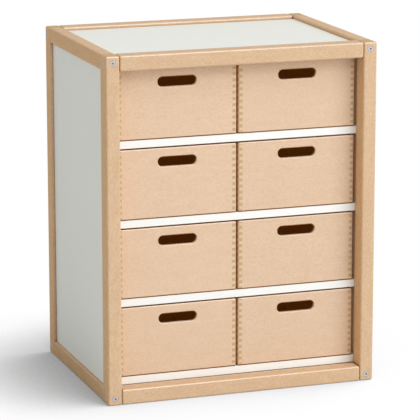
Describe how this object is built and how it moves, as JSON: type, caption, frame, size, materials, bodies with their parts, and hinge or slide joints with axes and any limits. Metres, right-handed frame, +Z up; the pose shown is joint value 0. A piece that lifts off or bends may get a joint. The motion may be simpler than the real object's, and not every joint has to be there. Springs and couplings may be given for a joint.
{
  "type": "drawer unit",
  "caption": "Free-standing beech post-and-rail cabinet with white board panels and shelves, holding loose finger-jointed wooden drawer boxes with hand slots.",
  "frame": {"origin": "middle of the footprint, on the floor", "axes": "+Z up; the drawer fronts face -Y, so +X is to the right of someone who looks at them"},
  "size_m": [0.8, 0.6, 0.99],
  "materials": {
    "beech_frame": "clear satin lacquer on beech",
    "beech_drawer": "clear matt lacquer on beech",
    "drawer_floor": "plain thin plywood",
    "white_board": "white melamine-faced board",
    "bolt_steel": "zinc-plated, satin",
    "nut_steel": "zinc-plated",
    "dowel_beech": "bare beech",
    "pin_steel": "zinc-plated"
  },
  "bodies": {
    "cabinet": {"post_front_left": "beech_frame", "post_back_left": "beech_frame", "post_front_right": "beech_frame", "post_back_right": "beech_frame", "side_rail_left_top": "beech_frame", "side_rail_right_top": "beech_frame", "cross_rail_front_top": "beech_frame", "cross_rail_back_top": "beech_frame", "side_rail_left_bottom": "beech_frame", "side_rail_right_bottom": "beech_frame", "cross_rail_front_bottom": "beech_frame", "cross_rail_back_bottom": "beech_frame", "side_panel_left": "white_board", "side_panel_right": "white_board", "back_panel": "white_board", "top_panel": "white_board", "bottom_board": "white_board", "shelf_1": "white_board", "shelf_2": "white_board", "shelf_3": "white_board", "frame_bolts": "bolt_steel", "barrel_nuts": "nut_steel", "frame_dowels": "dowel_beech", "shelf_pins": "pin_steel"},
    "drawer_1_left": {"drawer_1_left_front": "beech_drawer", "drawer_1_left_sides": "beech_drawer", "drawer_1_left_back": "beech_drawer", "drawer_1_left_bottom": "drawer_floor"},
    "drawer_1_right": {"drawer_1_right_front": "beech_drawer", "drawer_1_right_sides": "beech_drawer", "drawer_1_right_back": "beech_drawer", "drawer_1_right_bottom": "drawer_floor"},
    "drawer_2_left": {"drawer_2_left_front": "beech_drawer", "drawer_2_left_sides": "beech_drawer", "drawer_2_left_back": "beech_drawer", "drawer_2_left_bottom": "drawer_floor"},
    "drawer_2_right": {"drawer_2_right_front": "beech_drawer", "drawer_2_right_sides": "beech_drawer", "drawer_2_right_back": "beech_drawer", "drawer_2_right_bottom": "drawer_floor"},
    "drawer_3_left": {"drawer_3_left_front": "beech_drawer", "drawer_3_left_sides": "beech_drawer", "drawer_3_left_back": "beech_drawer", "drawer_3_left_bottom": "drawer_floor"},
    "drawer_3_right": {"drawer_3_right_front": "beech_drawer", "drawer_3_right_sides": "beech_drawer", "drawer_3_right_back": "beech_drawer", "drawer_3_right_bottom": "drawer_floor"},
    "drawer_4_left": {"drawer_4_left_front": "beech_drawer", "drawer_4_left_sides": "beech_drawer", "drawer_4_left_back": "beech_drawer", "drawer_4_left_bottom": "drawer_floor"},
    "drawer_4_right": {"drawer_4_right_front": "beech_drawer", "drawer_4_right_sides": "beech_drawer", "drawer_4_right_back": "beech_drawer", "drawer_4_right_bottom": "drawer_floor"}
  },
  "joints": [
    {"name": "drawer_1_left_slide", "type": "slide", "parent": "cabinet", "child": "drawer_1_left", "axis": [0, -1, 0], "range_m": [0, 0.4]},
    {"name": "drawer_1_right_slide", "type": "slide", "parent": "cabinet", "child": "drawer_1_right", "axis": [0, -1, 0], "range_m": [0, 0.4]},
    {"name": "drawer_2_left_slide", "type": "slide", "parent": "cabinet", "child": "drawer_2_left", "axis": [0, -1, 0], "range_m": [0, 0.4]},
    {"name": "drawer_2_right_slide", "type": "slide", "parent": "cabinet", "child": "drawer_2_right", "axis": [0, -1, 0], "range_m": [0, 0.4]},
    {"name": "drawer_3_left_slide", "type": "slide", "parent": "cabinet", "child": "drawer_3_left", "axis": [0, -1, 0], "range_m": [0, 0.4]},
    {"name": "drawer_3_right_slide", "type": "slide", "parent": "cabinet", "child": "drawer_3_right", "axis": [0, -1, 0], "range_m": [0, 0.4]},
    {"name": "drawer_4_left_slide", "type": "slide", "parent": "cabinet", "child": "drawer_4_left", "axis": [0, -1, 0], "range_m": [0, 0.4]},
    {"name": "drawer_4_right_slide", "type": "slide", "parent": "cabinet", "child": "drawer_4_right", "axis": [0, -1, 0], "range_m": [0, 0.4]}
  ]
}
